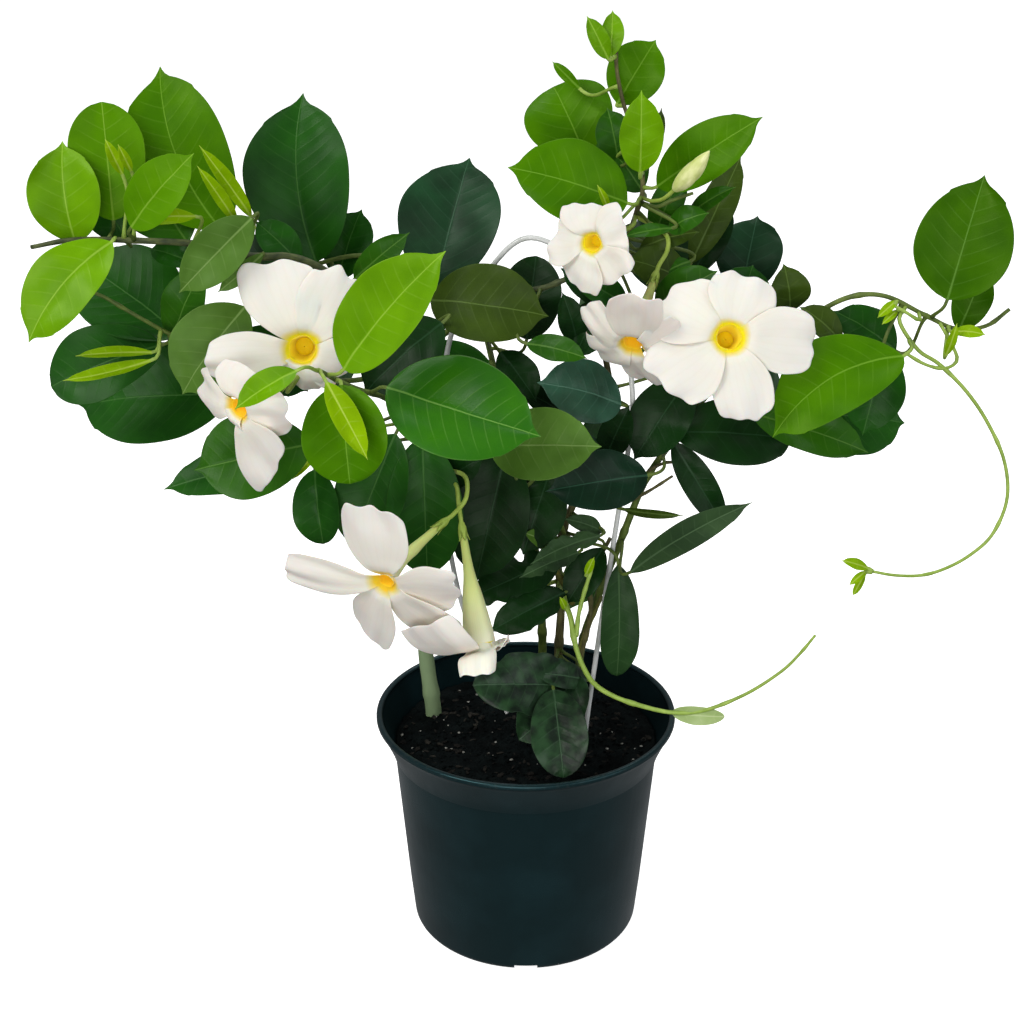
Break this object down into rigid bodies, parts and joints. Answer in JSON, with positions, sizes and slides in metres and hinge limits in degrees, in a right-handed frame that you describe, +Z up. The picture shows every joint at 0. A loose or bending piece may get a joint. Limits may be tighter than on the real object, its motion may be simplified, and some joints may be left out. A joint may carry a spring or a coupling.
{
  "type": "potted mandevilla",
  "caption": "Twining flowering patio plant with funnel-shaped white flowers and glossy leaves, growing on a wire hoop in a round flared nursery pot that stands on its flat base.",
  "frame": {"origin": "centre of the pot's base, on the surface it stands on", "axes": "+Z up along the pot's axis; the plant's front, where most flowers face, looks along -Y, and +X is to the right seen from the front"},
  "size_m": [0.5034, 0.2034, 0.518],
  "materials": {
    "pot_plastic": "satin",
    "potting_soil": "matte",
    "coated_wire": "gloss",
    "woody_stem": "matte",
    "green_stem": "satin",
    "pale_stem": "satin",
    "leaf_dark": "satin",
    "leaf_mid": "satin",
    "leaf_bright": "satin",
    "leaf_lime": "satin",
    "leaf_blue_green": "satin",
    "leaf_grey_green": "satin",
    "petal": "satin",
    "calyx": "satin",
    "bud": "satin"
  },
  "bodies": {
    "root": {"crown_stem": "woody_stem", "flower_bud": "bud", "flower_front_left_corolla": "petal", "flower_front_left_stalk": "calyx", "flower_hanging_corolla": "petal", "flower_hanging_stalk": "calyx", "flower_left_high_corolla": "petal", "flower_left_high_stalk": "calyx", "flower_left_low_corolla": "petal", "flower_left_low_stalk": "calyx", "flower_right_large_corolla": "petal", "flower_right_large_stalk": "calyx", "flower_right_middle_corolla": "petal", "flower_right_middle_stalk": "calyx", "flower_right_small_corolla": "petal", "flower_right_small_stalk": "calyx", "front_shoot": "green_stem", "hoop_support": "coated_wire", "leaf_crown_glossy": "leaf_blue_green", "leaf_far_right": "leaf_bright", "leaf_front_cupped": "leaf_mid", "leaf_front_glossy": "leaf_bright", "leaf_front_grey": "leaf_grey_green", "leaf_front_hanging": "leaf_dark", "leaf_front_lime": "leaf_lime", "leaf_front_narrow": "leaf_lime", "leaf_left_broad": "leaf_dark", "leaf_left_curled": "leaf_grey_green", "leaf_left_dark": "leaf_dark", "leaf_left_edge": "leaf_lime", "leaf_left_folded": "leaf_mid", "leaf_left_long": "leaf_dark", "leaf_left_low_edge": "leaf_lime", "leaf_left_round": "leaf_grey_green", "leaf_left_small": "leaf_bright", "leaf_left_upper": "leaf_bright", "leaf_right_arm": "leaf_bright", "leaf_right_back": "leaf_dark", "leaf_right_broad": "leaf_lime", "leaf_right_drooping": "leaf_mid", "leaf_right_left_arm": "leaf_mid", "leaf_right_low": "leaf_dark", "leaf_right_slant": "leaf_grey_green", "leaf_right_under": "leaf_dark", "leaf_soil_wavy": "leaf_dark", "leaf_tip_lime": "leaf_lime", "leaf_tip_right": "leaf_mid", "leaf_tip_round": "leaf_mid", "leaf_tip_young": "leaf_lime", "leaf_top_left": "leaf_dark", "leaf_top_middle": "leaf_blue_green", "leaf_top_olive": "leaf_grey_green", "left_main_stem": "woody_stem", "left_shoot": "green_stem", "pot": "pot_plastic", "right_vine": "green_stem", "soil": "potting_soil", "top_stem": "green_stem", "trailing_vine": "pale_stem", "young_shoot": "pale_stem"}
  },
  "joints": []
}
